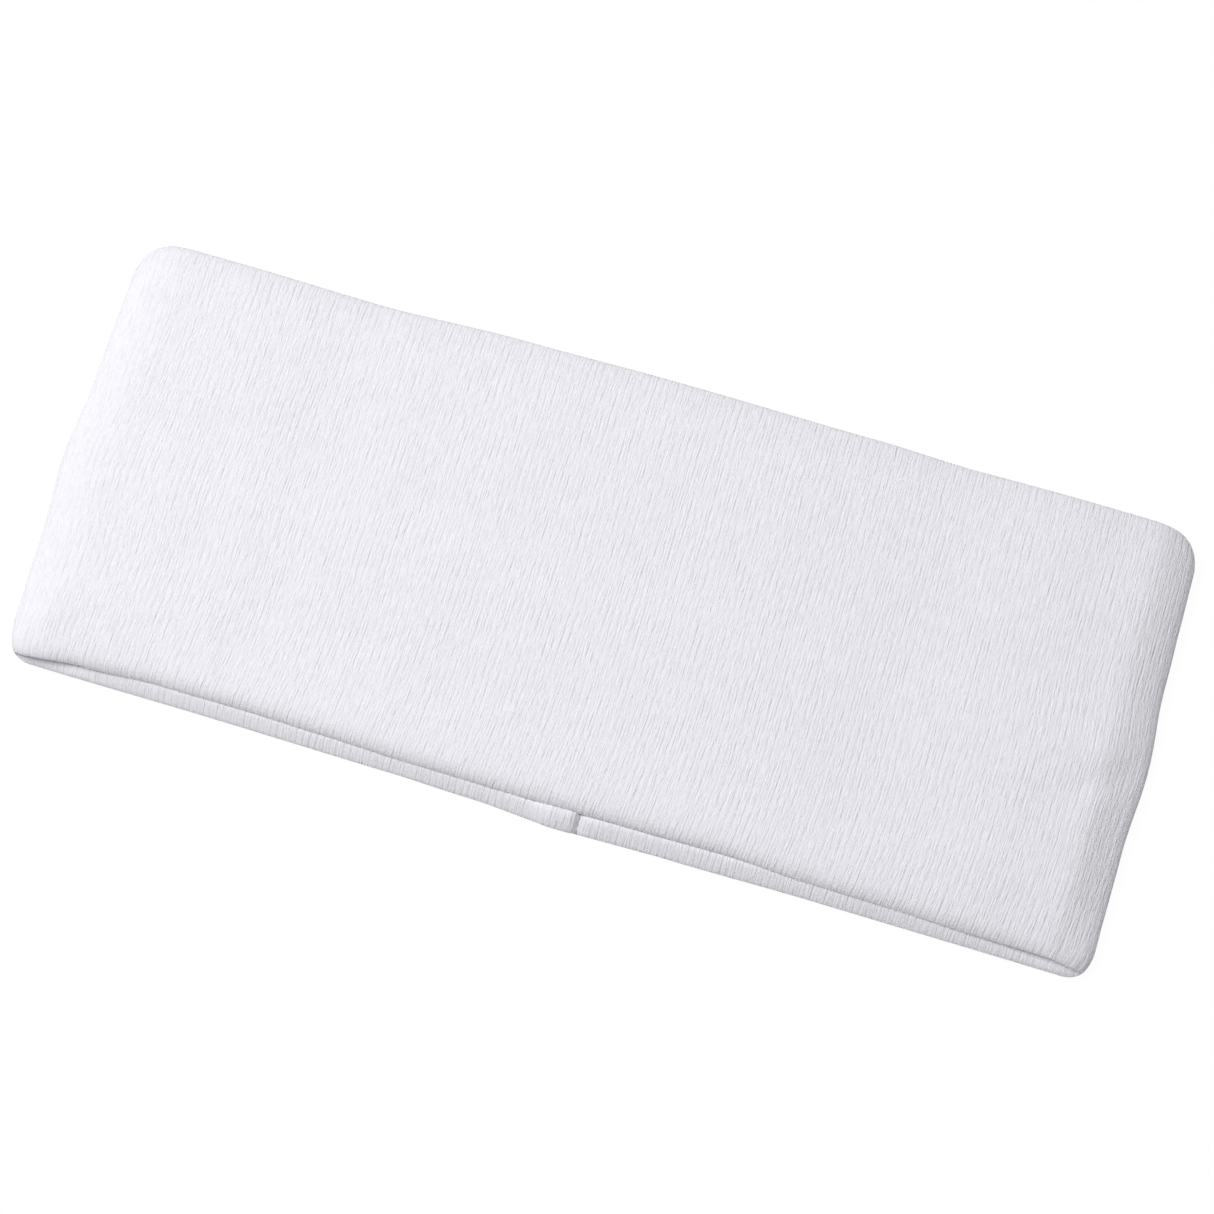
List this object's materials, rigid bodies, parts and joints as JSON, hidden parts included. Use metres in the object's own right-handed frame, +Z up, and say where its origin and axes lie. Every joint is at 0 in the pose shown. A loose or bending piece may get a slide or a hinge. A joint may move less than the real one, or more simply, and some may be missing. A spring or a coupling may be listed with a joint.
{
  "type": "sports headband",
  "caption": "Wide ribbed-knit sports headband with a double cloth wall, rolled edges and a centre-back seam, lying flat.",
  "frame": {"origin": "centre of the flattened band's footprint, on the surface it lies on", "axes": "+X along the flattened band, +Y across it toward the top edge, +Z up through the two walls, rear wall below"},
  "size_m": [0.225, 0.0924, 0.013],
  "materials": {
    "knit_face": "soft matt rib knit",
    "knit_lining": "soft matt rib knit",
    "needle_thread": "twisted sewing thread",
    "looper_thread": "textured sewing thread"
  },
  "bodies": {
    "root": {"outer_ply": "knit_face", "inner_ply": "knit_lining", "top_edge_needle_thread": "needle_thread", "top_edge_looper_thread": "looper_thread", "bottom_edge_needle_thread": "needle_thread", "bottom_edge_looper_thread": "looper_thread", "outer_back_seam_needle_thread": "needle_thread", "outer_back_seam_looper_thread": "looper_thread", "inner_back_seam_needle_thread": "needle_thread", "inner_back_seam_looper_thread": "looper_thread", "closing_stitches": "needle_thread"}
  },
  "joints": []
}
